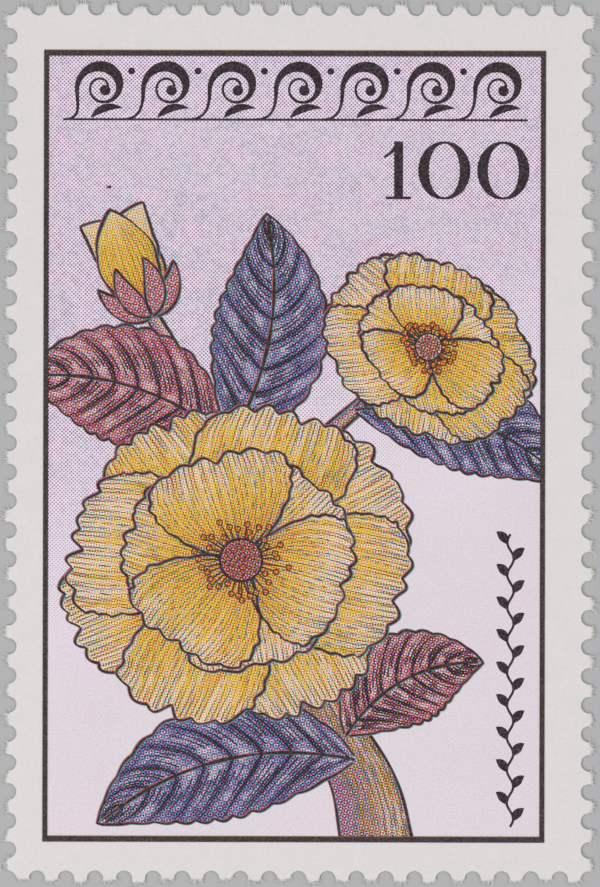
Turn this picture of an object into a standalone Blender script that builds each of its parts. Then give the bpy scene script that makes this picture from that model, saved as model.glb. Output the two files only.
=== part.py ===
"""A perforated postage stamp lying flat and face up: one sheet of gummed and printed paper.

Metres, +Z up. +X runs across the printed face and +Y up it. The origin is on the gummed back, in the
middle of the sheet.
"""

import math
import random

import bpy
from mathutils import Vector

MM = 0.001

# Perforation: so many holes in 20 mm, and so many hole spacings along each side of the stamp
GAUGE = 14
PITCH = 20 * MM / GAUGE
SPACINGS_ACROSS = 20
SPACINGS_UP = 30
HOLE_RADIUS = 0.405 * MM
RIM_STEP = math.radians(18)

# The sheet: its half sides are measured to the lines through the holes' centres
HALF_WIDTH = SPACINGS_ACROSS * PITCH / 2
HALF_HEIGHT = SPACINGS_UP * PITCH / 2
PAPER_THICKNESS = 0.1 * MM

# Torn tooth tips: how far past that line the paper reaches at a tip's middle, how much further one
# flank reaches than the middle, and how ragged the tear is
TIP_REACH = (0.02 * MM, 0.17 * MM)
TIP_SLOPE = 0.06 * MM
TIP_RAGGED = 0.03 * MM
TIP_POINTS = 5
TEAR_SEED = 14

PAPER_COLOUR = (0.72, 0.70, 0.695, 1)
PAPER_ROUGHNESS = 0.85


def clear_scene():
    for obj in list(bpy.data.objects):
        bpy.data.objects.remove(obj, do_unlink=True)


def paper_material():
    material = bpy.data.materials.new("stamp_paper")
    material.use_nodes = True
    shader = material.node_tree.nodes["Principled BSDF"]
    shader.inputs["Base Color"].default_value = PAPER_COLOUR
    shader.inputs["Roughness"].default_value = PAPER_ROUGHNESS
    shader.inputs["Metallic"].default_value = 0
    return material


def teeth():
    """(hole before, hole after, outward) for each tooth, anticlockwise from the lower left corner."""
    corners = [
        Vector((-HALF_WIDTH, -HALF_HEIGHT)),
        Vector((HALF_WIDTH, -HALF_HEIGHT)),
        Vector((HALF_WIDTH, HALF_HEIGHT)),
        Vector((-HALF_WIDTH, HALF_HEIGHT)),
    ]
    spacings = (SPACINGS_ACROSS, SPACINGS_UP, SPACINGS_ACROSS, SPACINGS_UP)
    for side, count in enumerate(spacings):
        start = corners[side]
        step = (corners[(side + 1) % len(corners)] - start) / count
        outward = Vector((step.y, -step.x)).normalized()
        for k in range(count):
            yield start + step * k, start + step * (k + 1), outward


def torn_tip(before, after, outward, draw):
    """The tear across one tooth, from the rim of the hole before it to the rim of the hole after it."""
    along = (after - before).normalized()
    middle = draw.uniform(*TIP_REACH)
    slope = draw.uniform(-TIP_SLOPE, TIP_SLOPE)
    points = []
    for k in range(TIP_POINTS):
        share = k / (TIP_POINTS - 1)
        reach = middle + slope * (2 * share - 1) + draw.uniform(-TIP_RAGGED, TIP_RAGGED)
        neck = math.sqrt(HOLE_RADIUS**2 - reach**2)
        place = neck + share * (PITCH - 2 * neck)
        points.append(before + along * place + outward * reach)
    return points


def hole_rim(centre, start, end):
    """The points of a hole's rim between start and end, clockwise, so round the sheet's side of it."""
    first = math.atan2(start.y - centre.y, start.x - centre.x)
    last = math.atan2(end.y - centre.y, end.x - centre.x)
    sweep = (first - last) % math.tau
    steps = round(sweep / RIM_STEP)
    angles = [first - sweep * k / steps for k in range(1, steps)]
    return [centre + HOLE_RADIUS * Vector((math.cos(a), math.sin(a))) for a in angles]


def sheet_outline():
    """The sheet's edge, anticlockwise: the tip of each tooth and the rim of the hole after it."""
    draw = random.Random(TEAR_SEED)
    all_teeth = list(teeth())
    tips = [torn_tip(*tooth, draw) for tooth in all_teeth]
    outline = []
    for k, (_, hole, _) in enumerate(all_teeth):
        following = tips[(k + 1) % len(tips)]
        outline += tips[k] + hole_rim(hole, tips[k][-1], following[0])
    return outline


def make_sheet(collection):
    """The outline as a filled 2D curve, extruded both ways by half the paper's thickness.

    The curve is drawn in millimetres and scaled, because a fill in metres loses points this close.
    """
    outline = sheet_outline()
    curve = bpy.data.curves.new("stamp_sheet", "CURVE")
    curve.dimensions = "2D"
    curve.fill_mode = "BOTH"
    curve.extrude = PAPER_THICKNESS / 2 / MM
    spline = curve.splines.new("POLY")
    spline.points.add(len(outline) - 1)
    for point, place in zip(spline.points, outline):
        point.co = (place.x / MM, place.y / MM, 0, 1)
    spline.use_cyclic_u = True
    curve.materials.append(paper_material())
    sheet = bpy.data.objects.new("stamp_sheet", curve)
    sheet.scale = (MM, MM, MM)
    sheet.location.z = PAPER_THICKNESS / 2
    collection.objects.link(sheet)


def main():
    clear_scene()
    collection = bpy.data.collections.new("postage_stamp")
    bpy.context.scene.collection.children.link(collection)
    make_sheet(collection)


main()
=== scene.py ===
"""The looks of a perforated postage stamp: torn paper, gum, and a four-colour offset print.

Metres, except where a name says mm. The print is drawn in millimetres about its own middle.
"""

import math
import random

import bmesh
import bpy
import numpy as np
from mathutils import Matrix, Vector
from mathutils.geometry import delaunay_2d_cdt


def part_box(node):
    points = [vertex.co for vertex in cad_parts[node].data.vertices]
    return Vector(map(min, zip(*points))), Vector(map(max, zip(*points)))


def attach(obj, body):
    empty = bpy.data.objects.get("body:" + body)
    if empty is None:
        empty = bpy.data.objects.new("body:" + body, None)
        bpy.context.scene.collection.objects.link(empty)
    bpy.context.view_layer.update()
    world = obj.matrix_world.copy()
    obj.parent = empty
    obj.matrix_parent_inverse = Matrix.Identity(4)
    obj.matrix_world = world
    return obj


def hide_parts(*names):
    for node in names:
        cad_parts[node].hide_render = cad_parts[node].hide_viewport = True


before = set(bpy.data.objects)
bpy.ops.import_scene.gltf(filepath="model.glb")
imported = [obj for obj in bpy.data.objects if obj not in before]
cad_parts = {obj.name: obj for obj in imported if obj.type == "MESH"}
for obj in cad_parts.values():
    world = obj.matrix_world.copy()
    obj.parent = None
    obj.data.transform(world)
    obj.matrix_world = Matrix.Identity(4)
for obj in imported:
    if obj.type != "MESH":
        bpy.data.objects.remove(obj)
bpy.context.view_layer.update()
SHEET_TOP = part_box("stamp_sheet")[1][2]

MM = 0.001

# Perforation and tear, as on the solid
PITCH = 20 * MM / 14
SPACINGS = (20, 30, 20, 30)
HALF_WIDTH = SPACINGS[0] * PITCH / 2
HALF_HEIGHT = SPACINGS[1] * PITCH / 2
HOLE_RADIUS = 0.405 * MM
TIP_REACH = (0.02 * MM, 0.17 * MM)
TIP_SLOPE = 0.06 * MM
TIP_RAGGED = 0.03 * MM
TIP_POINTS = 5
TEAR_SEED = 14

# Finer tear and rims than the solid has
TEAR_STEPS = 24
RIM_STEPS = 22
CORNER_RIM_STEPS = 12
TEAR_GRAIN = 0.030 * MM
CORNER_WEAR = 0.08 * MM
RIM_GRAIN = 0.004 * MM
RIM_INSET = 0.016 * MM
RIM_DROP = 0.012 * MM
TEAR_INSET = 0.085 * MM
TEAR_TOP = 0.5
TEAR_BOTTOM = 0.25

# Print: where its middle lies on the sheet, its slight turn, and the height of one coat of ink
PRINT_MIDDLE_MM = (-0.245, -0.145)
PRINT_TURN = math.radians(-0.04)
COAT = 0.4e-6
BEAD = 0.35
SINK = 1e-6

# The frame rule round the picture
RULE_HALF_MM = np.array((12.337, 19.438))
RULE_LINE_MM = np.array((0.240, 0.235))
RULE_SLIP_MM = 0.032
FIELD_HALF_MM = RULE_HALF_MM - RULE_LINE_MM / 2

# Halftone screens: (ink, angle in degrees, pitch in mm, linear colour of solid ink on white)
PICTURE_SCREENS = (
    ("Cyan", 15, 0.133, (0.05, 0.40, 0.76)),
    ("Magenta", 75, 0.132, (0.80, 0.06, 0.34)),
    ("Yellow", 90, 0.126, (0.95, 0.78, 0.06)),
    ("Black", 45, 0.133, (0.05, 0.04, 0.042)),
)
GROUND_SCREENS = (
    ("Violet", 45, 0.133, (0.33, 0.27, 0.33)),
    ("Rose", 45, 0.133, (0.88, 0.36, 0.62)),
    ("Teal", 75, 0.132, (0.30, 0.64, 0.68)),
)
PAPER_WHITE = (0.775, 0.738, 0.730)
DOT_BLUR = 0.38
LILAC_WHITE = (0.90, 0.775, 0.895)
CREAM_WHITE = (0.90, 0.765, 0.615)
PALE_WHITE = (0.765, 0.690, 0.745)


# Paths and shapes, in print millimetres


def path_through(points, steps=12):
    """A smooth path through the points, with so many steps between each two."""
    points = np.array(points, float)
    points = np.vstack([2 * points[0] - points[1], points, 2 * points[-1] - points[-2]])
    u = np.linspace(0, 1, steps, endpoint=False)[:, None]
    parts = []
    for a, b, c, d in zip(points, points[1:], points[2:], points[3:]):
        parts.append(
            0.5 * (2 * b + (c - a) * u + (2 * a - 5 * b + 4 * c - d) * u**2 + (3 * b - a - 3 * c + d) * u**3)
        )
    return np.vstack(parts + [points[-2:-1]])


def directions(path, closed=False):
    """The unit direction at each point of a path."""
    if closed:
        step = np.roll(path, -1, 0) - np.roll(path, 1, 0)
    else:
        step = np.gradient(path, axis=0)
    return step / np.linalg.norm(step, axis=1)[:, None]


def left_of(direction):
    return np.stack([-direction[..., 1], direction[..., 0]], -1)


def waves(draw, count, low, high):
    """A smooth random function of one number, between about -1 and 1."""
    parts = [(draw.uniform(low, high), draw.uniform(0, math.tau)) for _ in range(count)]

    def value(x):
        return sum(np.sin(rate * x + phase) for rate, phase in parts) / count

    return value


class Film:
    """Thin closed pieces of dried ink, gathered into one object. Heights are in coats of ink."""

    def __init__(self):
        self.points = []
        self.faces = []
        self.own = []
        self.count = 0

    def add(self, xy, heights, own, faces):
        self.points.append(np.column_stack([xy, heights]))
        self.own.append(own)
        self.faces += [[i + self.count for i in face] for face in faces]
        self.count += len(xy)

    def grid(self, xy, own, height):
        """A patch of rows and columns of points, with its underside and rim."""
        rows, cols = xy.shape[:2]
        size = rows * cols
        index = np.arange(size).reshape(rows, cols)
        a, b, c, d = index[:-1, :-1], index[:-1, 1:], index[1:, 1:], index[1:, :-1]
        top = np.stack([a, b, c, d], -1).reshape(-1, 4)
        rim = np.concatenate([index[0, :-1], index[:-1, -1], index[-1, :0:-1], index[:0:-1, 0]])
        after = np.roll(rim, -1)
        wall = np.column_stack([rim + size, after + size, after, rim])
        faces = np.vstack([top, top[:, ::-1] + size, wall])
        flat = xy.reshape(-1, 2)
        turned = np.cross(flat[b.ravel()[0]] - flat[a.ravel()[0]], flat[d.ravel()[0]] - flat[a.ravel()[0]])
        if turned < 0:
            faces = faces[:, ::-1]
        heights = np.repeat([height, 0.0], size)
        own = own.reshape(-1, 3)
        self.add(np.vstack([flat, flat]), heights, np.vstack([own, own]), faces.tolist())

    def stroke(self, path, width, height, closed=False):
        """A line of varying width: a bead of ink, a little higher along its middle than at its sides."""
        count = len(path)
        side = left_of(directions(path, closed)) * (np.broadcast_to(width, count) / 2)[:, None]
        xy = np.stack([path - side, path, path + side, path], 1).reshape(-1, 2)
        heights = np.tile([height, height + BEAD, height, 0.0], count)
        faces = []
        last = count if closed else count - 1
        for k in range(last):
            a = 4 * k
            b = 4 * ((k + 1) % count)
            faces += [[a + i, b + i, b + (i + 1) % 4, a + (i + 1) % 4] for i in range(4)]
        if not closed:
            end = 4 * (count - 1)
            faces += [[0, 1, 2, 3], [end + 3, end + 2, end + 1, end]]
        self.add(xy, heights, np.zeros((4 * count, 3)), faces)

    def disc(self, centre, radius, height, own=(0.5, 0, 0), sides=14, squash=1.0):
        angle = np.arange(sides) * math.tau / sides
        xy = np.array(centre) + radius * np.column_stack([np.cos(angle), squash * np.sin(angle)])
        top = list(range(sides))
        under = [sides + i for i in reversed(range(sides))]
        wall = [[i + sides, (i + 1) % sides + sides, (i + 1) % sides, i] for i in range(sides)]
        heights = np.repeat([height, 0.0], sides)
        self.add(np.vstack([xy, xy]), heights, np.tile(own, (2 * sides, 1)), [top, under] + wall)

    def piece(self, name, material, clip=False):
        """The film as an object on the sheet, cut off at the frame rule if clip is set."""
        points = np.vstack(self.points)
        mesh = bpy.data.meshes.new(name)
        xy, height = points[:, :2], points[:, 2]
        placed = on_sheet(xy, height)
        mesh.from_pydata(placed.tolist(), [], self.faces)
        own = mesh.attributes.new("own", "FLOAT_VECTOR", "POINT")
        own.data.foreach_set("vector", np.vstack(self.own).astype(np.float32).ravel())
        mesh.materials.append(material)
        if clip:
            clip_to_rule(mesh)
        add_flat_map(mesh)
        return add_piece(name, mesh)


def on_sheet(xy, height):
    """Points of the print, in millimetres and coats of ink, as points on the sheet in metres."""
    cos, sin = math.cos(PRINT_TURN), math.sin(PRINT_TURN)
    x = (xy[:, 0] * cos - xy[:, 1] * sin + PRINT_MIDDLE_MM[0]) * MM
    y = (xy[:, 0] * sin + xy[:, 1] * cos + PRINT_MIDDLE_MM[1]) * MM
    z = SHEET_TOP + np.where(height > 0, height * COAT, -SINK)
    return np.column_stack([x, y, z])


def add_flat_map(mesh):
    """Maps a film from above, over the whole square. Faces of one film at one place have one colour."""
    points = np.array([vertex.co[:2] for vertex in mesh.vertices])
    low, high = points.min(0), points.max(0)
    flat = 0.01 + 0.98 * (points - low) / (high - low)
    corners = np.array([loop.vertex_index for loop in mesh.loops])
    layer = mesh.uv_layers.new(name="OFBake")
    layer.uv.foreach_set("vector", flat[corners].astype(np.float32).ravel())


def clip_to_rule(mesh):
    """Cuts a film off under the middle of the frame rule, and closes the cuts."""
    bm = bmesh.new()
    bm.from_mesh(mesh)
    cos, sin = math.cos(PRINT_TURN), math.sin(PRINT_TURN)
    middle = np.array(PRINT_MIDDLE_MM) * MM
    for out in ((1, 0), (-1, 0), (0, 1), (0, -1)):
        out = np.array((out[0] * cos - out[1] * sin, out[0] * sin + out[1] * cos))
        reach = FIELD_HALF_MM[0] if abs(out[0]) > abs(out[1]) else FIELD_HALF_MM[1]
        place = middle + out * reach * MM
        whole = bm.verts[:] + bm.edges[:] + bm.faces[:]
        cut = bmesh.ops.bisect_plane(
            bm,
            geom=whole,
            dist=1e-9,
            plane_co=(*place, 0),
            plane_no=(*out, 0),
            clear_outer=True,
        )
        edges = [e for e in cut["geom_cut"] if isinstance(e, bmesh.types.BMEdge) and e.is_boundary]
        bmesh.ops.holes_fill(bm, edges=edges, sides=0)
    bm.to_mesh(mesh)
    bm.free()


def add_piece(name, mesh):
    obj = bpy.data.objects.new(name, mesh)
    bpy.context.scene.collection.objects.link(obj)
    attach(obj, "root")
    return obj


# Materials


class Nodes:
    """Short calls for building a node tree."""

    def __init__(self, tree):
        self.tree = tree

    def add(self, kind, inputs=(), **settings):
        node = self.tree.nodes.new(kind)
        for name, value in settings.items():
            setattr(node, name, value)
        for name, value in dict(inputs).items():
            self.feed(node.inputs[name], value)
        return node

    def feed(self, socket, value):
        if isinstance(value, bpy.types.NodeSocket):
            self.tree.links.new(value, socket)
        else:
            socket.default_value = value

    def math(self, operation, *values, clamp=False):
        inputs = {i: v for i, v in enumerate(values)}
        return self.add("ShaderNodeMath", inputs, operation=operation, use_clamp=clamp).outputs[0]

    def span(self, value, low, high, to_low=0.0, to_high=1.0, smooth=False):
        kind = "SMOOTHSTEP" if smooth else "LINEAR"
        inputs = {"Value": value, "From Min": low, "From Max": high, "To Min": to_low, "To Max": to_high}
        return self.add("ShaderNodeMapRange", inputs, interpolation_type=kind, clamp=True).outputs[0]

    def mix(self, share, a, b, blend="MIX"):
        inputs = {0: share, 6: a, 7: b}
        return self.add("ShaderNodeMix", inputs, data_type="RGBA", blend_type=blend).outputs[2]

    def noise(self, vector, scale, detail=2.0, rough=0.5):
        inputs = {"Vector": vector, "Scale": scale, "Detail": detail, "Roughness": rough}
        return self.add("ShaderNodeTexNoise", inputs).outputs["Fac"]

    def scaled(self, vector, by):
        inputs = {0: vector, 1: by}
        return self.add("ShaderNodeVectorMath", inputs, operation="MULTIPLY").outputs[0]

    def place_mm(self):
        """The point on the sheet in millimetres."""
        place = self.add("ShaderNodeTexCoord").outputs["Object"]
        return self.scaled(place, (1000, 1000, 1000))

    def own(self):
        """s, t and the number of the shape, as the film's points hold them."""
        vector = self.add("ShaderNodeAttribute", attribute_name="own").outputs["Vector"]
        return vector, self.add("ShaderNodeSeparateXYZ", {0: vector}).outputs


def dot_mask(nodes, x, y, cover, angle, pitch):
    """1 inside the dots of a screen and 0 between them, for a cover between 0 and 1."""
    turn = math.radians(angle)
    rate = math.tau / pitch
    cos, sin = math.cos(turn) * rate, math.sin(turn) * rate
    u = nodes.math("ADD", nodes.math("MULTIPLY", x, cos), nodes.math("MULTIPLY", y, sin))
    v = nodes.math("SUBTRACT", nodes.math("MULTIPLY", y, cos), nodes.math("MULTIPLY", x, sin))
    peaks = nodes.math("MULTIPLY", nodes.math("ADD", nodes.math("COSINE", u), nodes.math("COSINE", v)), 0.5)
    edge = nodes.math("SUBTRACT", 1.0, nodes.math("MULTIPLY", cover, 2.0))
    low = nodes.math("SUBTRACT", edge, DOT_BLUR)
    high = nodes.math("ADD", edge, DOT_BLUR)
    return nodes.math("MULTIPLY", nodes.span(peaks, low, high, smooth=True), nodes.span(cover, 0.0, 0.08))


def screen_print_group(name, screens):
    """A node group: the colour of the stock and the cover of each ink in, the colour of the print out."""
    group = bpy.data.node_groups.new(name, "ShaderNodeTree")
    stock = group.interface.new_socket("Stock", in_out="INPUT", socket_type="NodeSocketColor")
    stock.default_value = (*PAPER_WHITE, 1)
    for name, *_ in screens:
        group.interface.new_socket(name, in_out="INPUT", socket_type="NodeSocketFloat")
    group.interface.new_socket("Color", in_out="OUTPUT", socket_type="NodeSocketColor")
    nodes = Nodes(group)
    covers = nodes.add("NodeGroupInput").outputs
    place = nodes.place_mm()
    fine = nodes.span(nodes.noise(place, 3.1, 3.0), 0.3, 0.7, 0.94, 1.06)
    broad = nodes.span(nodes.noise(place, 0.35, 2.0), 0.3, 0.7, 0.96, 1.04)
    uneven = nodes.math("MULTIPLY", fine, broad)
    x, y, _ = nodes.add("ShaderNodeSeparateXYZ", {0: place}).outputs
    colour = covers["Stock"]
    for name, angle, pitch, ink in screens:
        cover = nodes.math("MULTIPLY", covers[name], uneven)
        mask = dot_mask(nodes, x, y, cover, angle, pitch)
        colour = nodes.mix(mask, colour, nodes.mix(1.0, colour, (*ink, 1), "MULTIPLY"))
    out = nodes.add("NodeGroupOutput")
    nodes.feed(out.inputs["Color"], colour)
    return group


def new_material(name, roughness, specular=0.5):
    material = bpy.data.materials.new(name)
    material.use_nodes = True
    nodes = Nodes(material.node_tree)
    shader = material.node_tree.nodes["Principled BSDF"]
    shader.inputs["Roughness"].default_value = roughness
    shader.inputs["Specular IOR Level"].default_value = specular
    return material, nodes, shader


def add_grain(nodes, shader, place, scale, height_mm):
    """Bump from paper fibres, which also shows through thin ink."""
    fine = nodes.noise(nodes.scaled(place, (1.0, 1.6, 1.0)), scale, 4.0, 0.6)
    bump = nodes.add("ShaderNodeBump", {"Strength": 0.5, "Distance": height_mm * MM, "Height": fine})
    nodes.feed(shader.inputs["Normal"], bump.outputs[0])


def printed_material(name, covers_from, group):
    """covers_from gives each ink's cover from the nodes."""
    material, nodes, shader = new_material(name, 0.62, 0.35)
    covers = covers_from(nodes)
    screen = nodes.add("ShaderNodeGroup", node_tree=group)
    for ink, cover in covers.items():
        nodes.feed(screen.inputs[ink], cover)
    nodes.feed(shader.inputs["Base Color"], screen.outputs[0])
    add_grain(nodes, shader, nodes.place_mm(), 9.0, 0.004)
    return material


def ground_covers(nodes):
    """Lilac at the top, paling towards the lower right, with uneven dots and patches of two tints."""
    place = nodes.place_mm()
    x, y, _ = nodes.add("ShaderNodeSeparateXYZ", {0: place}).outputs
    slope = nodes.math("SUBTRACT", y, nodes.math("MULTIPLY", x, 0.45))
    deep = nodes.span(slope, -10.0, 7.0, smooth=True)
    stock = nodes.mix(deep, (*PALE_WHITE, 1), (*LILAC_WHITE, 1))
    mottle = nodes.span(nodes.noise(place, 11.0, 2.0), 0.3, 0.7, 0.93, 1.07)
    uneven = nodes.span(nodes.noise(place, 5.0, 1.0), 0.3, 0.7, 0.74, 1.26)
    patches = nodes.noise(place, 0.8, 2.0)
    rosy = nodes.span(patches, 0.38, 0.64, 0.25, 1.0)
    bluish = nodes.span(patches, 0.36, 0.62, 1.0, 0.25)
    rose = nodes.math("MULTIPLY", nodes.span(deep, 0.0, 1.0, -0.05, 0.275), rosy)
    faint = nodes.span(nodes.noise(place, 0.25, 2.0), 0.46, 0.62, 0.0, 0.06)
    return {
        "Stock": nodes.mix(1.0, stock, mottle, "MULTIPLY"),
        "Violet": nodes.math("MULTIPLY", nodes.span(deep, 0.0, 1.0, -0.10, 0.37), uneven),
        "Rose": nodes.math("MAXIMUM", rose, faint),
        "Teal": nodes.math("MULTIPLY", nodes.span(deep, 0.0, 1.0, -0.05, 0.20), bluish),
    }


def petal_covers(nodes):
    """Cream at the edge and gold towards the claw, in streaks that run out from it."""
    own, (s, t, shape) = nodes.own()
    streak_at = nodes.scaled(own, (1.6, 13.0, 7.3))
    streaks = nodes.span(nodes.noise(streak_at, 1.0, 3.0, 0.6), 0.3, 0.7, -0.3, 0.3)
    own_tone = nodes.math("SINE", nodes.math("MULTIPLY", shape, 2.4))
    depth = nodes.math("ADD", nodes.math("ADD", s, streaks), nodes.math("MULTIPLY", own_tone, 0.12))
    gold = nodes.span(depth, 0.40, 1.15, 1.0, 0.0, smooth=True)
    green_lines = nodes.noise(nodes.scaled(own, (5.0, 34.0, 3.1)), 1.0, 2.0)
    green = nodes.span(green_lines, 0.50, 0.68, 0.0, 0.31)
    rust_lines = nodes.noise(nodes.scaled(own, (4.0, 26.0, 5.9)), 1.0, 2.0)
    rust = nodes.span(rust_lines, 0.50, 0.68, 0.0, 0.26)
    shade = nodes.span(s, 0.06, 0.50, 1.0, 0.0, smooth=True)
    side = nodes.span(t, -1.0, 0.2, 1.0, 0.0, smooth=True)
    return {
        "Stock": (*CREAM_WHITE, 1),
        "Yellow": nodes.math("ADD", nodes.span(gold, 0.0, 1.0, 0.25, 0.94), nodes.math("MULTIPLY", shade, 0.10)),
        "Magenta": nodes.math("ADD", nodes.math("ADD", nodes.span(gold, 0.0, 1.0, 0.16, 0.26), rust),
                              nodes.math("MULTIPLY", shade, 0.26)),
        "Cyan": nodes.math("ADD", nodes.math("ADD", nodes.span(gold, 0.0, 1.0, 0.16, 0.13), green),
                           nodes.math("MULTIPLY", side, 0.08)),
        "Black": nodes.math("MULTIPLY", shade, 0.12),
    }


def plain_covers(cyan, magenta, yellow, black):
    def covers(nodes):
        return {"Cyan": cyan, "Magenta": magenta, "Yellow": yellow, "Black": black}

    return covers


def leaf_covers(cyan, magenta, yellow, black):
    """Deep at the edges and the midrib, paler on the swell between two side veins."""

    def covers(nodes):
        own, (s, t, shape) = nodes.own()
        off = nodes.math("ABSOLUTE", t)
        vein = nodes.math("SUBTRACT", s, nodes.math("MULTIPLY", nodes.math("POWER", off, 1.2), LEAF_VEIN_LEAN))
        swell = nodes.math("ABSOLUTE", nodes.math("SINE", nodes.math("MULTIPLY", vein, math.pi * LEAF_VEINS)))
        noise = nodes.noise(nodes.scaled(own, (9.0, 4.0, 3.7)), 1.3, 3.0, 0.6)
        light = nodes.math("MULTIPLY", nodes.span(swell, 0.25, 1.0, smooth=True), nodes.span(noise, 0.35, 0.62))
        light = nodes.math("MULTIPLY", light, nodes.span(off, 1.0, 0.75, 0.35, 1.0))
        keep = nodes.span(light, 0.0, 1.0, 1.0, 0.60)
        return {
            "Cyan": nodes.math("MULTIPLY", keep, cyan),
            "Magenta": nodes.math("MULTIPLY", keep, magenta),
            "Yellow": nodes.math("MULTIPLY", keep, yellow),
            "Black": nodes.math("MULTIPLY", nodes.math("MULTIPLY", keep, keep), black),
        }

    return covers


def bark_covers(nodes):
    """Brown-violet, lit along one side, with long streaks."""
    own, (s, t, shape) = nodes.own()
    streaks = nodes.noise(nodes.scaled(own, (3.0, 5.0, 2.0)), 1.6, 3.0, 0.6)
    lit = nodes.span(nodes.math("ADD", t, nodes.span(streaks, 0.3, 0.7, -0.35, 0.35)), -0.9, 0.7, smooth=True)
    return {
        "Cyan": nodes.span(lit, 0.0, 1.0, 0.12, 0.39),
        "Magenta": nodes.span(lit, 0.0, 1.0, 0.36, 0.58),
        "Yellow": nodes.span(lit, 0.0, 1.0, 0.36, 0.24),
        "Black": nodes.span(lit, 0.0, 1.0, 0.15, 0.32),
    }


def solid_ink(name, colour, roughness=0.55):
    """Line work: nearly solid ink, thinner in places."""
    material, nodes, shader = new_material(name, roughness, 0.2)
    place = nodes.place_mm()
    thin = nodes.span(nodes.noise(place, 13.0, 2.0, 0.6), 0.46, 0.76, 0.0, 0.13)
    nodes.feed(shader.inputs["Base Color"], nodes.mix(thin, (*colour, 1), (*PAPER_WHITE, 1)))
    add_grain(nodes, shader, place, 9.0, 0.003)
    return material


def paper_material():
    """Coated white paper, faintly mottled, with pressed fibres just visible."""
    material, nodes, shader = new_material("stamp_paper_face", 0.8, 0.3)
    place = nodes.place_mm()
    cloud = nodes.noise(place, 0.9, 5.0, 0.6)
    fibres = nodes.noise(nodes.scaled(place, (1.0, 4.5, 1.0)), 2.6, 4.0, 0.6)
    cross = nodes.noise(nodes.scaled(place, (4.5, 1.0, 1.0)), 2.6, 4.0, 0.6)
    tint = nodes.mix(nodes.span(cloud, 0.3, 0.7), (0.790, 0.742, 0.728, 1), (0.752, 0.722, 0.718, 1))
    lines = nodes.span(nodes.math("MAXIMUM", fibres, cross), 0.56, 0.74)
    tint = nodes.mix(nodes.math("MULTIPLY", lines, 0.55), tint, (0.69, 0.660, 0.650, 1))
    tint = nodes.mix(1.0, tint, nodes.span(nodes.noise(place, 7.0, 3.0, 0.6), 0.3, 0.7, 0.970, 1.022), "MULTIPLY")
    nodes.feed(shader.inputs["Base Color"], tint)
    add_grain(nodes, shader, place, 12.0, 0.006)
    return material


def gum_material():
    """Dried gum: off-white, a little glossy, with fine breaks across it."""
    material, nodes, shader = new_material("stamp_gum", 0.32, 0.5)
    place = nodes.place_mm()
    cloud = nodes.noise(place, 0.5, 4.0, 0.6)
    tint = nodes.mix(nodes.span(cloud, 0.3, 0.7), (0.74, 0.71, 0.64, 1), (0.70, 0.665, 0.585, 1))
    breaks = nodes.noise(nodes.scaled(place, (0.6, 7.0, 1.0)), 1.2, 3.0, 0.6)
    tint = nodes.mix(nodes.span(breaks, 0.60, 0.72, 0.0, 0.35), tint, (0.80, 0.78, 0.73, 1))
    nodes.feed(shader.inputs["Base Color"], tint)
    bump = nodes.add("ShaderNodeBump", {"Strength": 0.6, "Distance": 0.01 * MM, "Height": breaks})
    nodes.feed(shader.inputs["Normal"], bump.outputs[0])
    return material


def fibre_material():
    material, nodes, shader = new_material("torn_fibres", 0.9, 0.2)
    place = nodes.place_mm()
    white = nodes.mix(nodes.span(nodes.noise(place, 4.0), 0.3, 0.7), (0.84, 0.83, 0.83, 1), (0.74, 0.73, 0.72, 1))
    nodes.feed(shader.inputs["Base Color"], white)
    return material


# The sheet


def teeth():
    """(hole before, hole after, outward) for each tooth, anticlockwise from the lower left corner."""
    corners = np.array([(-1, -1), (1, -1), (1, 1), (-1, 1)]) * (HALF_WIDTH, HALF_HEIGHT)
    for side, count in enumerate(SPACINGS):
        step = (corners[(side + 1) % 4] - corners[side]) / count
        outward = np.array((step[1], -step[0])) / PITCH
        for k in range(count):
            yield corners[side] + step * k, corners[side] + step * (k + 1), outward


def tip_reaches():
    """How far each tooth reaches at its five measured places, drawn as on the solid."""
    draw = random.Random(TEAR_SEED)
    reaches = []
    for _ in range(sum(SPACINGS)):
        middle = draw.uniform(*TIP_REACH)
        slope = draw.uniform(-TIP_SLOPE, TIP_SLOPE)
        shares = [k / (TIP_POINTS - 1) for k in range(TIP_POINTS)]
        reaches.append([middle + slope * (2 * s - 1) + draw.uniform(-TIP_RAGGED, TIP_RAGGED) for s in shares])
    return reaches


def tear_line(share, reach):
    """How far a tooth reaches at a share of its width: its torn corners are worn back."""
    return np.interp(share, np.linspace(0, 1, TIP_POINTS), reach) - CORNER_WEAR * np.abs(2 * share - 1) ** 3


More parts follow.
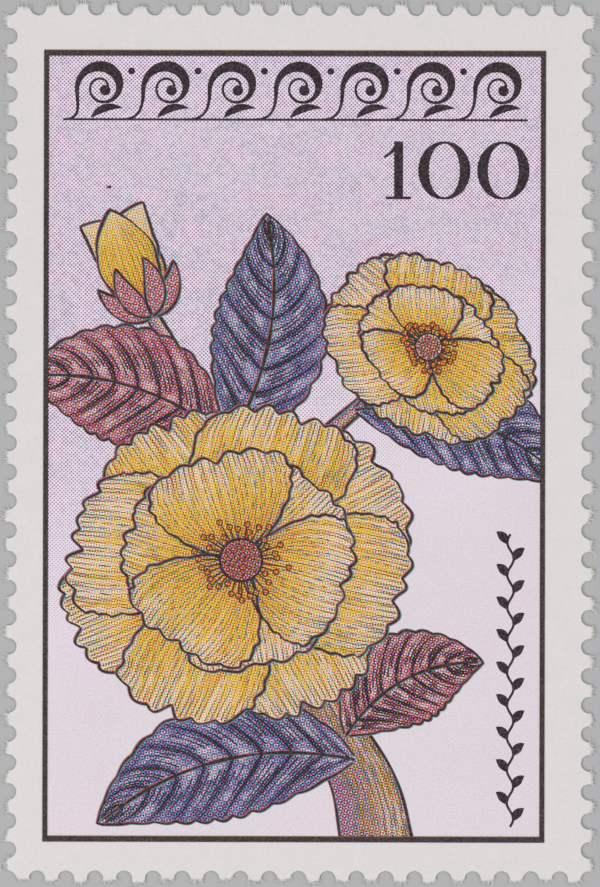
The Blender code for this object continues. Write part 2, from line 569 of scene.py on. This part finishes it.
def sheet_loop(reaches, rim_inset, tear_inset, grain):
    """The edge of the sheet, moved inwards by the insets, and whether each point is on a tear."""
    draw = np.random.default_rng(TEAR_SEED)
    all_teeth = list(teeth())
    tips = []
    for (before, after, outward), reach in zip(all_teeth, reaches):
        along = (after - before) / PITCH
        share = np.linspace(0, 1, TEAR_STEPS + 1)
        rough = draw.normal(0, TEAR_GRAIN, len(share)) * grain
        rough[1:] = 0.6 * rough[1:] + 0.6 * rough[:-1]
        out = tear_line(share, reach) - tear_inset + rough
        out[[0, -1]] -= rough[[0, -1]]
        neck = np.sqrt(HOLE_RADIUS**2 - out[[0, -1]] ** 2) + rim_inset
        place = neck[0] + share * (PITCH - neck.sum())
        tips.append(before + along * place[:, None] + outward * out[:, None])
    points, torn = [], []
    for k, (_, hole, _) in enumerate(all_teeth):
        following = tips[(k + 1) % len(tips)]
        a = math.atan2(*(tips[k][-1] - hole)[::-1])
        b = math.atan2(*(following[0] - hole)[::-1])
        corner = (k + 1) in np.cumsum(SPACINGS)
        steps = CORNER_RIM_STEPS if corner else RIM_STEPS
        angle = a - ((a - b) % math.tau) * np.arange(1, steps) / steps
        radius = HOLE_RADIUS + rim_inset + draw.normal(0, RIM_GRAIN, steps - 1) * grain
        rim = hole + radius[:, None] * np.column_stack([np.cos(angle), np.sin(angle)])
        points += [tips[k], rim]
        torn += [True] * len(tips[k]) + [False] * len(rim)
    return np.vstack(points), np.array(torn)


def make_sheet():
    """The paper: crisp at the punched rims, and thinned out to a ragged edge at the tears."""
    reaches = tip_reaches()
    outer, torn = sheet_loop(reaches, 0, 0, 1)
    inner, _ = sheet_loop(reaches, RIM_INSET, TEAR_INSET, 0)
    count = len(outer)
    loops = (
        (inner, np.zeros(count)),
        (outer, np.where(torn, TEAR_BOTTOM * SHEET_TOP, 0.1 * RIM_DROP)),
        (outer, np.where(torn, TEAR_TOP * SHEET_TOP, SHEET_TOP - RIM_DROP)),
        (inner, np.full(count, SHEET_TOP)),
    )
    points = [(x, y, z) for xy, heights in loops for (x, y), z in zip(xy, heights)]
    faces = []
    for low in range(0, 3 * count, count):
        for k in range(count):
            n = (k + 1) % count
            faces.append((low + k, low + n, low + count + n, low + count + k))
    fill = fill_triangles(inner)
    back = [tuple(reversed(face)) for face in fill]
    front = [tuple(3 * count + k for k in face) for face in fill]
    mesh = bpy.data.meshes.new("paper_sheet")
    mesh.from_pydata(points, [], faces + front + back)
    mesh.materials.append(paper_material())
    mesh.materials.append(gum_material())
    for face in mesh.polygons[len(faces) + len(front) :]:
        face.material_index = 1
    sheet = add_piece("paper_sheet", mesh)
    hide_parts("stamp_sheet")


def fill_triangles(outline):
    """The triangles that fill a closed outline, worked out in millimetres."""
    places = [Vector(point) / MM for point in outline]
    filled = delaunay_2d_cdt(places, [], [list(range(len(places)))], 1, 1e-7)
    source = [own[0] for own in filled[3]]
    return [tuple(source[k] for k in face) for face in filled[2]]


def hair(start, heading, turn, length, radius, height, climb, steps):
    """The points of one three-sided fibre, thinner towards its end, three to a step."""
    points = []
    at = np.array(start)
    for k in range(steps + 1):
        angle = heading + turn * k / steps
        if k:
            at = at + np.array((math.cos(angle), math.sin(angle))) * length / steps
        z = min(max(height + climb * length * k / steps, 0.012 * MM), 1.3 * SHEET_TOP)
        side = np.array((-math.sin(angle), math.cos(angle))) * radius * (1 - 0.6 * k / steps)
        points += [(*(at - side), z - radius / 2), (*(at + side), z - radius / 2), (*at, z + radius / 2)]
    return points


# Long loose fibres that lie over the holes: x, y, heading and turn in degrees, and length
STRAY_FIBRES = (
    (14.52, 10.58, -118, -50, 0.72),
    (-13.92, 10.32, 205, 70, 0.60),
    (-3.14, 21.30, 35, 120, 0.85),
    (-2.42, 21.34, 130, -110, 0.62),
)


def make_fibres(reaches):
    """Paper fibres that stand out of each tear: many short ones, and here and there a long curly one."""
    draw = random.Random(TEAR_SEED + 1)
    hairs = []
    for (before, after, outward), reach in zip(teeth(), reaches):
        along = (after - before) / PITCH
        facing = math.atan2(outward[1], outward[0])
        count = draw.randint(44, 62)
        longest = draw.uniform(0.14, 0.36) * MM
        for n in range(count):
            share = draw.random()
            neck = HOLE_RADIUS * 0.99
            out = tear_line(share, reach) - draw.uniform(0.02, 0.07) * MM
            root = before + along * (neck + share * (PITCH - 2 * neck)) + outward * out
            length = 0.06 * MM + longest * draw.random() ** 2.0
            turn = draw.gauss(0, 0.9)
            steps = 3 if length > 0.15 * MM else 2
            if n == 0 and draw.random() < 0.22:
                length, turn, steps = draw.uniform(0.5, 0.95) * MM, draw.gauss(0, 2.4), 9
            hairs.append(hair(root, facing + draw.gauss(0, 0.6), turn, length, draw.uniform(0.010, 0.021) * MM,
                              draw.uniform(0.4, 0.9) * SHEET_TOP, draw.uniform(-0.1, 0.35), steps))
    for x, y, heading, turn, length in STRAY_FIBRES:
        hairs.append(hair((x * MM, y * MM), math.radians(heading), math.radians(turn), length * MM, 0.016 * MM,
                          0.9 * SHEET_TOP, 0.0, 10))
    points, faces = [], []
    for rings in hairs:
        a = len(points)
        end = a + len(rings) - 3
        points += rings
        for ring in range(a, end, 3):
            faces += [(ring + i, ring + (i + 1) % 3, ring + (i + 1) % 3 + 3, ring + i + 3) for i in range(3)]
        faces += [(a + 2, a + 1, a), (end, end + 1, end + 2)]
    mesh = bpy.data.meshes.new("torn_fibres")
    mesh.from_pydata([tuple(map(float, p)) for p in points], [], faces)
    mesh.materials.append(fibre_material())
    add_piece("torn_fibres", mesh)


# The picture: leaves, petals and stems


LEAF_VEINS = 9
LEAF_VEIN_LEAN = 0.17
LINE_GAP_MM = 0.25
LAYER = 4
GOLD_FILMS = 4
OUTLINE_MM = 0.100


def leaf(base, tip, bow, half_width, lobes=11, lobe_depth=0.07, widest=0.8):
    """A function from (s, t) to the print: s runs up the midrib, t from edge to edge."""
    base, axis = np.array(base, float), np.array(tip, float) - np.array(base, float)
    side = left_of(axis)

    def place(s, t):
        s, t = (v[..., None] for v in np.broadcast_arrays(np.asarray(s, float), np.asarray(t, float)))
        rib = base + s * axis + bow * 4 * s * (1 - s) * side
        along = axis + bow * 4 * (1 - 2 * s) * side
        along = along / np.linalg.norm(along, axis=-1, keepdims=True)
        width = half_width * np.sin(np.pi * np.clip(s, 0.004, 0.996) ** widest) ** 0.85
        lobe = np.abs(np.sin(np.pi * lobes * s + 0.6 * np.sign(t))) - 0.6
        reach = width * (1 + lobe_depth * lobe * np.abs(t) ** 3)
        return rib + left_of(along) * t * reach + along * 0.22 * width * t**2

    return place


def petal(centre, heading, length, half_width, draw, shape):
    """As leaf, for a petal with a narrow claw and a broad scalloped end. shape tilts the flower."""
    lobes = draw.uniform(2.6, 3.6)
    phase = draw.uniform(0, math.pi)
    ruffle = waves(draw, 3, 3, 8)
    edge = waves(draw, 3, 4, 11)
    notch = draw.uniform(-0.3, 0.3)
    bend = draw.uniform(-0.05, 0.05) * length
    turn = np.array([(math.cos(heading), -math.sin(heading)), (math.sin(heading), math.cos(heading))])

    def place(s, t):
        s, t = np.broadcast_arrays(np.asarray(s, float), np.asarray(t, float))
        dome = 0.07 * t**2 + 0.10 * t**4
        dip = 0.045 * np.exp(-(((t - notch) / 0.12) ** 2))
        scallop = 0.04 * np.abs(np.sin(lobes * math.pi * t + phase))
        end = 0.97 - dome - dip + scallop + 0.015 * ruffle(3 * t)
        up = length * s * (1 + (end - 1) * s)
        wide = 0.10 + 0.90 * np.sin(0.60 * np.pi * s**0.85) / math.sin(0.60 * math.pi)
        across = half_width * t * wide * (1 + 0.04 * edge(5 * s) * t**2) + bend * s**2
        local = np.stack([up, across], -1) @ turn.T
        return np.array(centre) + local @ shape.T

    return place


def tilted(lean, squash):
    """The matrix that foreshortens a flower along the direction lean."""
    c, s = math.cos(lean), math.sin(lean)
    turn = np.array([(c, -s), (s, c)])
    return turn @ np.diag((squash, 1)) @ turn.T


class Picture:
    """The films of each ink, and the ways to draw on them."""

    def __init__(self):
        golds = [f"gold_{k}" for k in range(GOLD_FILMS)]
        names = "indigo maroon bark line vein hatch slate orange fringe_cyan fringe_magenta".split()
        self.films = {name: Film() for name in golds + names}
        self.draw = random.Random(41)
        self.shapes = 0

    def surface(self, place, ink, layer, rows, cols, start=0.02):
        """A leaf's or petal's own colour, at a height that no other shape has."""
        self.shapes += 1
        s, t = np.meshgrid(np.linspace(start, 1, rows), np.linspace(-1, 1, cols), indexing="ij")
        own = np.stack([s, t, np.full_like(s, self.shapes)], -1)
        self.films[ink].grid(place(s, t), own, LAYER * layer + 0.07 * (self.shapes % 9))

    def outline(self, path, layer, width=OUTLINE_MM):
        """A pen line of uneven width, with the edges of two other inks showing beside it."""
        uneven = waves(self.draw, 3, 0.8, 2.7)
        steps = np.linalg.norm(np.diff(path, axis=0), axis=1)
        thick = width * (1 + 0.4 * uneven(np.concatenate([[0], np.cumsum(steps)])))
        self.films["fringe_cyan"].stroke(path + (0.045, -0.032), thick, LAYER * layer + 0.9)
        self.films["fringe_magenta"].stroke(path + (-0.044, 0.034), thick, LAYER * layer + 1.5)
        self.films["line"].stroke(path, thick, LAYER * layer + 3)

    def line(self, path, width, layer, taper="both", ink="hatch"):
        """A short tapered pen line."""
        u = np.linspace(0, 1, len(path))
        if taper == "both":
            shape = np.sin(np.pi * (0.06 + 0.88 * u)) ** 0.5
        else:
            shape = (1 - 0.85 * u) ** 0.6
        rise = {"orange": 0.8, "slate": 1.6, "hatch": 2.2, "vein": 2.6, "line": 3.0}[ink]
        self.films[ink].stroke(path, width * shape, LAYER * layer + rise)

    def petal(self, place, layer, half_width):
        self.surface(place, f"gold_{layer % GOLD_FILMS}", layer, 24, 33)
        s, t = np.linspace(0.03, 1, 26), np.linspace(-1, 1, 80)
        self.outline(np.vstack([place(s, -1), place(1, t[1:-1]), place(s[::-1], 1)]), layer)
        count = round(2 * half_width / LINE_GAP_MM)
        for k in range(count):
            t0 = 0.96 * (2 * (k + 0.5 + self.draw.uniform(-0.22, 0.22)) / count - 1)
            self.petal_line(place, t0, layer, min(1, 0.35 + 0.2 * half_width), bold=k % 2 == 0)

    def petal_line(self, place, t0, layer, fine, bold):
        """One line of shading up a petal: solid from the claw, broken in the middle, solid at the end."""
        draw = self.draw
        wander = waves(draw, 2, 3, 9)

        def part(a, b, width, taper, ink="hatch"):
            s = np.linspace(a, b, max(3, round(abs(b - a) * 14)))
            self.line(place(s, t0 + 0.012 * wander(s)), fine * width, layer, taper, ink)

        low = draw.uniform(0.30, 0.62)
        high = draw.uniform(0.70, 0.9)
        part(0.10, draw.uniform(0.72, 0.97), 0.080, "one", "orange")
        if bold:
            part(0.06, low, 0.094, "one", draw.choice(("hatch", "slate")))
        part(0.98, high, 0.088, "one", draw.choice(("hatch", "slate")))
        at = low if bold else draw.uniform(0.25, 0.45)
        while at < high - 0.05:
            step = draw.uniform(0.03, 0.11)
            if draw.random() < 0.75:
                part(at, min(at + step, high), draw.uniform(0.055, 0.10), "both", draw.choice(("hatch", "slate")))
            at += step + draw.uniform(0.012, 0.045)

    def rim(self, place, layer, width=OUTLINE_MM, points=90):
        s = np.linspace(0, 1, points)
        self.outline(np.vstack([place(s, -1), place(s[::-1], 1)[1:]]), layer, width)

    def leaf(self, place, ink, layer):
        self.surface(place, ink, layer, 60, 13, 0.0)
        self.rim(place, layer)
        self.outline(place(np.linspace(0, 0.97, 40), 0), layer, 0.14)
        for k in range(1, LEAF_VEINS):
            for side in (-1, 1):
                self.leaf_vein(place, k / LEAF_VEINS, side, layer, 0.14, 0.95)
        gaps = LEAF_VEINS * 5
        for k in range(gaps):
            for side in (-1, 1):
                inner = self.draw.uniform(0.03, 0.4)
                outer = self.draw.uniform(inner + 0.25, 0.97)
                self.leaf_vein(place, (k + self.draw.uniform(0.2, 0.8)) / gaps, side, layer, 0.085, outer, inner)

    def leaf_vein(self, place, at, side, layer, width, outer, inner=0.0):
        t = np.linspace(inner, outer, 8)
        s = at + LEAF_VEIN_LEAN * t**1.2
        keep = s < 0.985
        if keep.sum() > 2:
            self.line(place(s[keep], side * t[keep]), width, layer, "one", "vein")

    def stem(self, points, widths, layer):
        path = path_through(points)
        width = np.interp(np.linspace(0, 1, len(path)), np.linspace(0, 1, len(widths)), widths)
        knots = waves(self.draw, 3, 0.15, 0.5)
        width = width * (1 + 0.08 * knots(np.arange(len(path))))
        side = left_of(directions(path)) * (width / 2)[:, None]
        t = np.linspace(-1, 1, 7)
        xy = path[:, None, :] + side[:, None, :] * t[None, :, None]
        self.shapes += 1
        s, across = np.meshgrid(np.linspace(0, len(points), len(path)), t, indexing="ij")
        own = np.stack([s, across, np.full_like(s, self.shapes)], -1)
        self.films["bark"].grid(xy, own, LAYER * layer)
        self.outline(path + side, layer)
        self.outline(path - side, layer, 1.25 * OUTLINE_MM)
        for k in range(1, len(path) - 6):
            for _ in range(round(3 * width[k])):
                across = self.draw.uniform(-0.95, 0.55)
                run = self.draw.randint(3, 6)
                piece = path[k : k + run] + side[k : k + run] * across
                self.line(piece, 0.08, layer, ink=("hatch", "slate", "slate")[run % 3])

    def flower(self, centre, radius, layer, shape, turn, petals=(8, 6)):
        """Two whorls of petals round a boss of stamens. Every second petal lies over its neighbours."""
        sizes = ((1.0, 0.46), (0.66, 0.36))
        for whorl, (count, (reach, half)) in enumerate(zip(petals, sizes)):
            for parity in (0, 1):
                for k in range(parity, count, 2):
                    heading = turn + whorl * 0.35 + math.tau * (k + self.draw.uniform(-0.1, 0.1)) / count
                    length = radius * reach * self.draw.uniform(0.93, 1.05)
                    half_width = radius * half * self.draw.uniform(0.92, 1.08) * 8 / (count + 1 + whorl)
                    place = petal(centre, heading, length, half_width, self.draw, shape)
                    self.petal(place, layer + 2 * whorl + parity, half_width)
        self.boss(centre, radius * 0.2, layer + 4, shape)

    def boss(self, centre, radius, layer, shape):
        """Stamens in a ring, and a dark middle."""
        centre = np.array(centre)
        count = 34
        for k in range(count):
            angle = math.tau * (k + self.draw.uniform(-0.3, 0.3)) / count
            out = np.array((math.cos(angle), math.sin(angle))) @ shape.T
            end = self.draw.uniform(0.8, 1.35) * radius
            self.line(centre + out * np.linspace(0.25 * radius, end, 6)[:, None], 0.08, layer, "both", "line")
            own_rise = 0.13 * (k % 4)
            self.dot(centre + out * end, 0.17, "line", layer, 3.6 + own_rise)
            self.dot(centre + out * end, 0.11, "gold_0", layer, 4.2 + own_rise)
        self.dot(centre, 0.62 * radius, "line", layer, 4.8)
        self.dot(centre, 0.55 * radius, "maroon", layer, 5.4)
        for k in range(44):
            angle = k * math.pi * (3 - math.sqrt(5))
            out = 0.5 * radius * math.sqrt((k + 0.5) / 44)
            spot = centre + out * np.array((math.cos(angle), math.sin(angle)))
            self.dot(spot, 0.045 * radius + 0.02, "line", layer, 6.0)
            self.dot(spot + (-0.02, 0.02), 0.028 * radius + 0.01, "gold_0", layer, 6.6)

    def dot(self, centre, radius, ink, layer, rise):
        sides = 12 if radius < 0.3 else 32
        self.films[ink].disc(centre, radius, LAYER * layer + rise, (0.12, 0.5, self.shapes), sides)

    def bud(self, base, heading, length, layer):
        """Three folded petals in a cup of sepals."""

        def toward(angle, reach):
            return np.array(base) + reach * length * np.array((math.cos(heading + angle), math.sin(heading + angle)))

        for k, (angle, bow) in enumerate(((0.3, -0.16), (-0.3, 0.16), (0.0, 0.02))):
            place = leaf(base, toward(angle, 1.0), bow, 0.26 * length, 3, 0.05, 0.9)
            self.surface(place, f"gold_{k}", layer + k, 26, 13, 0.0)
            self.rim(place, layer + k, points=50)
            for n in range(11):
                low, high = self.draw.uniform(0.05, 0.3), self.draw.uniform(0.5, 0.95)
                self.line(place(np.linspace(low, high, 10), 0.17 * n - 0.85), 0.07, layer + k, "one")
        for k, angle in enumerate((0.75, -0.75, 0.28, -0.22)):
            place = leaf(base, toward(angle, 0.52), 0.12 * (-1) ** k, 0.09 * length, 2, 0.0, 0.7)
            self.surface(place, "maroon", layer + 3 + k // 2, 16, 7, 0.0)
            self.rim(place, layer + 3 + k // 2, 0.1, 30)

    def finish(self, group):
        materials = {
            "indigo": printed_material("print_indigo", leaf_covers(0.68, 0.58, 0.06, 0.37), group),
            "maroon": printed_material("print_maroon", leaf_covers(0.27, 0.68, 0.44, 0.40), group),
            "bark": printed_material("print_bark", bark_covers, group),
            "line": solid_ink("line_ink", (0.024, 0.012, 0.015)),
            "vein": printed_material("vein_ink", plain_covers(0.84, 0.74, 0.60, 0.62), group),
            "hatch": printed_material("hatch_ink", plain_covers(0.42, 0.54, 0.92, 0.10), group),
            "slate": printed_material("slate_ink", plain_covers(0.68, 0.48, 0.52, 0.15), group),
            "orange": printed_material("orange_ink", plain_covers(0.10, 0.50, 0.85, 0.05), group),
            "fringe_cyan": solid_ink("fringe_cyan_ink", (0.10, 0.23, 0.25)),
            "fringe_magenta": solid_ink("fringe_magenta_ink", (0.42, 0.10, 0.12)),
        }
        gold = printed_material("print_gold", petal_covers, group)
        for name, film in self.films.items():
            film.piece("print_" + name, materials.get(name, gold), clip=True)


def draw_picture(group):
    picture = Picture()
    picture.stem(
        [(4.2, -20.0), (3.4, -16.5), (1.2, -12.5), (-0.6, -8.0), (-2.0, -3.0), (-4.2, 1.6), (-7.0, 6.4)],
        (3.6, 2.5, 1.3, 0.6),
        1,
    )
    picture.stem([(-1.6, -4.0), (0.6, -0.5), (3.2, 2.0), (6.4, 4.6)], (0.9, 0.7, 0.6), 2)
    picture.leaf(leaf((3.0, -15.4), (-9.6, -18.6), -0.12, 2.9), "indigo", 3)
    picture.leaf(leaf((2.6, -14.2), (9.3, -10.6), 0.14, 2.3), "maroon", 4)
    picture.leaf(leaf((-3.6, 0.6), (-13.4, 3.4), -0.10, 2.9), "maroon", 3)
    picture.leaf(leaf((-3.2, 0.2), (-1.4, 11.4), -0.10, 2.8), "indigo", 4)
    picture.leaf(leaf((3.0, 1.8), (13.4, -1.8), 0.12, 2.5), "indigo", 3)
    picture.bud((-7.0, 6.4), math.radians(112), 5.6, 5)
    picture.flower((6.6, 4.9), 5.6, 4, tilted(math.radians(55), 0.78), 0.2, (6, 6))
    picture.flower((-2.6, -5.6), 8.9, 10, tilted(math.radians(100), 0.90), 0.5, (8, 6))
    picture.finish(group)


# Frame rule, ornament and numerals


SCROLL_UNITS = 7
SCROLL_SPAN_MM = (-11.4, 11.45)
SCROLL_BASE_MM = 16.0
SCROLL_HEIGHT_MM = 2.9
ORNAMENT_HEIGHT = 8


def rule(film, slip, height):
    """The frame rule: four strips that meet in mitres, as one closed ring, slipped up the sheet."""
    corners = np.array([(-1, -1), (1, -1), (1, 1), (-1, 1)])
    outer, inner = corners * RULE_HALF_MM, corners * (RULE_HALF_MM - RULE_LINE_MM)
    xy = np.vstack([outer, inner, outer, inner]) + (0, slip)
    heights = np.repeat([height, 0.0], 8)
    faces = []
    for k in range(4):
        n = (k + 1) % 4
        faces += [[k, n, n + 4, k + 4], [k + 12, n + 12, n + 8, k + 8]]
        faces += [[k + 8, n + 8, n, k], [k + 4, n + 4, n + 12, k + 12]]
    film.add(xy, heights, np.zeros((16, 3)), faces)


def bezier(start, start_way, end, end_way, count):
    """A cubic path that leaves start along start_way and comes to end along end_way."""
    u = np.linspace(0, 1, count)[:, None]
    start, end = np.array(start), np.array(end)
    a, b = start + np.array(start_way), end - np.array(end_way)
    return (1 - u) ** 3 * start + 3 * u * (1 - u) ** 2 * a + 3 * u**2 * (1 - u) * b + u**3 * end


def scroll(film):
    """A running wave scroll on a base line: each unit climbs from the line and curls into a spiral."""
    start, end = SCROLL_SPAN_MM
    pitch = (end - start) / SCROLL_UNITS
    tall = SCROLL_HEIGHT_MM
    base = SCROLL_BASE_MM
    turn = np.linspace(math.pi, math.pi - math.radians(580), 70)
    shrink = 1 - 0.82 * np.linspace(0, 1, 70) ** 0.9
    for k in range(SCROLL_UNITS):
        x = start + pitch * k
        centre = np.array((x + 0.58 * pitch, base + 0.56 * tall))
        curl = centre + 0.42 * tall * shrink[:, None] * np.column_stack([np.cos(turn), np.sin(turn)])
        climb = bezier((x - 0.12 * pitch if k else x, base + 0.05), (0.3 * pitch, 0), curl[0], (0, 0.3 * tall), 16)
        path = np.vstack([climb[:-1], curl])
        u = np.linspace(0, 1, len(path))
        width = 0.12 + 0.42 * np.exp(-(((u - 0.33) / 0.13) ** 2))
        film.stroke(path, width, ORNAMENT_HEIGHT)
        film.disc(curl[-1], 0.26, ORNAMENT_HEIGHT + 1, sides=20)
        ornament_leaf(film, (x + 0.42 * pitch, base + 0.14), (x + 0.90 * pitch, base + 0.60), 0.16, 0.19)
        if k < SCROLL_UNITS - 1:
            film.disc((x + 1.03 * pitch, base + 0.84 * tall), 0.17, ORNAMENT_HEIGHT + 1, sides=16)
    line = np.column_stack([np.linspace(start, end, 20), np.full(20, base + 0.05)])
    film.stroke(line, 0.11, ORNAMENT_HEIGHT + 2)


def ornament_leaf(film, root, tip, bow, half_width):
    s, t = np.meshgrid(np.linspace(0, 1, 14), np.linspace(-1, 1, 5), indexing="ij")
    film.grid(leaf(root, tip, bow, half_width, 1, 0)(s, t), np.zeros((14, 5, 3)), ORNAMENT_HEIGHT + 2)


def figure_one(film, x, base, tall):
    stem = np.column_stack([np.full(12, x), np.linspace(base + 0.06, base + tall, 12)])
    film.stroke(stem, 0.44, ORNAMENT_HEIGHT)
    flag = path_through([(x - 0.72, base + 0.72 * tall), (x - 0.3, base + 0.83 * tall), (x + 0.02, base + 0.985 * tall)], 6)
    film.stroke(flag, np.linspace(0.09, 0.24, len(flag)), ORNAMENT_HEIGHT + 1)
    foot = np.column_stack([np.linspace(x - 0.62, x + 0.62, 12), np.full(12, base + 0.07)])
    film.stroke(foot, 0.14, ORNAMENT_HEIGHT + 2)


def figure_nought(film, x, base, tall):
    angle = np.linspace(0, math.tau, 64, endpoint=False)
    width = 0.11 + 0.42 * np.abs(np.cos(angle)) ** 1.6
    half = np.array((1.02, tall / 2 - 0.055))
    path = np.array((x, base + tall / 2)) + half * np.column_stack([np.cos(angle), np.sin(angle)])
    film.stroke(path, width, ORNAMENT_HEIGHT, closed=True)


def numerals(film):
    """Plain figures in the upper right."""
    base, tall = 12.15, 2.85
    figure_one(film, 5.1, base, tall)
    figure_nought(film, 7.35, base, tall)
    figure_nought(film, 10.25, base, tall)


def side_vine(film):
    """A thin upright vine with alternate leaflets, down the right side."""
    y = np.linspace(-18.7, -4.3, 150)
    x = 10.65 + 0.16 * np.sin((y + 18.7) * math.tau / 1.6)
    film.stroke(np.column_stack([x, y]), 0.12, ORNAMENT_HEIGHT)
    for k in range(18):
        side = (-1) ** k
        at = -18.4 + 0.8 * k
        root = (10.65 + 0.16 * math.sin((at + 18.7) * math.tau / 1.6), at)
        ornament_leaf(film, root, (root[0] + side * 0.55, at + 0.62), 0.1 * side, 0.22)


def speck(film):
    """A stray spot of ink in the ground."""
    film.disc((-9.14, 12.73), 0.125, ORNAMENT_HEIGHT, sides=9, squash=0.6)


def draw_ground(group):
    film = Film()
    s, t = np.meshgrid(np.linspace(-1, 1, 12), np.linspace(-1, 1, 8), indexing="ij")
    xy = np.stack([t * FIELD_HALF_MM[0], s * FIELD_HALF_MM[1]], -1)
    film.grid(xy, np.zeros((12, 8, 3)), 1.0)
    film.piece("print_ground", printed_material("print_lilac", ground_covers, group))


def draw_line_work():
    for name, slip, height, colour in (
        ("rule_brown", RULE_SLIP_MM, 86.0, (0.20, 0.115, 0.045)),
        ("rule_blue", -RULE_SLIP_MM, 87.0, (0.060, 0.060, 0.17)),
        ("rule", 0.0, 88.0, (0.040, 0.025, 0.023)),
    ):
        film = Film()
        rule(film, slip, height)
        film.piece("print_" + name, solid_ink(name + "_ink", colour))
    film = Film()
    scroll(film)
    numerals(film)
    side_vine(film)
    speck(film)
    film.piece("print_ornament", solid_ink("ornament_ink", (0.023, 0.010, 0.016)))


# Floor, lights and camera


def make_floor():
    mesh = bpy.data.meshes.new("floor")
    half = 0.6
    mesh.from_pydata([(-half, -half, 0), (half, -half, 0), (half, half, 0), (-half, half, 0)], [], [(0, 1, 2, 3)])
    material, nodes, shader = new_material("floor_grey", 0.9, 0.2)
    shader.inputs["Base Color"].default_value = (0.47, 0.47, 0.475, 1)
    mesh.materials.append(material)
    floor = bpy.data.objects.new("floor", mesh)
    floor.location.z = -0.00002
    bpy.context.scene.collection.objects.link(floor)


def make_lights():
    world = bpy.data.worlds.new("studio")
    bpy.context.scene.world = world
    world.use_nodes = True
    world.node_tree.nodes["Background"].inputs["Color"].default_value = (1, 1, 1, 1)
    world.node_tree.nodes["Background"].inputs["Strength"].default_value = 0.42
    for name, place, size, power in (
        ("key", (-0.24, -0.17, 0.27), 0.20, 0.81),
        ("fill", (0.24, 0.12, 0.28), 0.26, 0.49),
    ):
        light = bpy.data.lights.new(name, "AREA")
        light.size = size
        light.energy = power
        lamp = bpy.data.objects.new(name, light)
        lamp.location = place
        lamp.rotation_euler = Vector(place).to_track_quat("Z", "Y").to_euler()
        bpy.context.scene.collection.objects.link(lamp)


VIEW_TALL_MM = 43.63
VIEW_MIDDLE_MM = (0.04, -0.01)
VIEW_ROLL = math.radians(0.10)
LENS_MM = 200.0
SENSOR_MM = 36.0


def make_camera():
    """Straight down on the face, from as far as a long lens needs."""
    data = bpy.data.cameras.new("camera")
    data.lens = LENS_MM
    data.sensor_width = SENSOR_MM
    data.clip_start = 0.005
    camera = bpy.data.objects.new("camera", data)
    distance = VIEW_TALL_MM * MM * LENS_MM / SENSOR_MM
    camera.location = (VIEW_MIDDLE_MM[0] * MM, VIEW_MIDDLE_MM[1] * MM, distance)
    camera.rotation_euler = (0, 0, VIEW_ROLL)
    bpy.context.scene.collection.objects.link(camera)
    bpy.context.scene.camera = camera
    bpy.context.scene.view_settings.view_transform = "Standard"


make_camera()
make_lights()
make_floor()
make_sheet()
make_fibres(tip_reaches())
draw_ground(screen_print_group("ground_print", GROUND_SCREENS))
draw_line_work()
draw_picture(screen_print_group("picture_print", PICTURE_SCREENS))
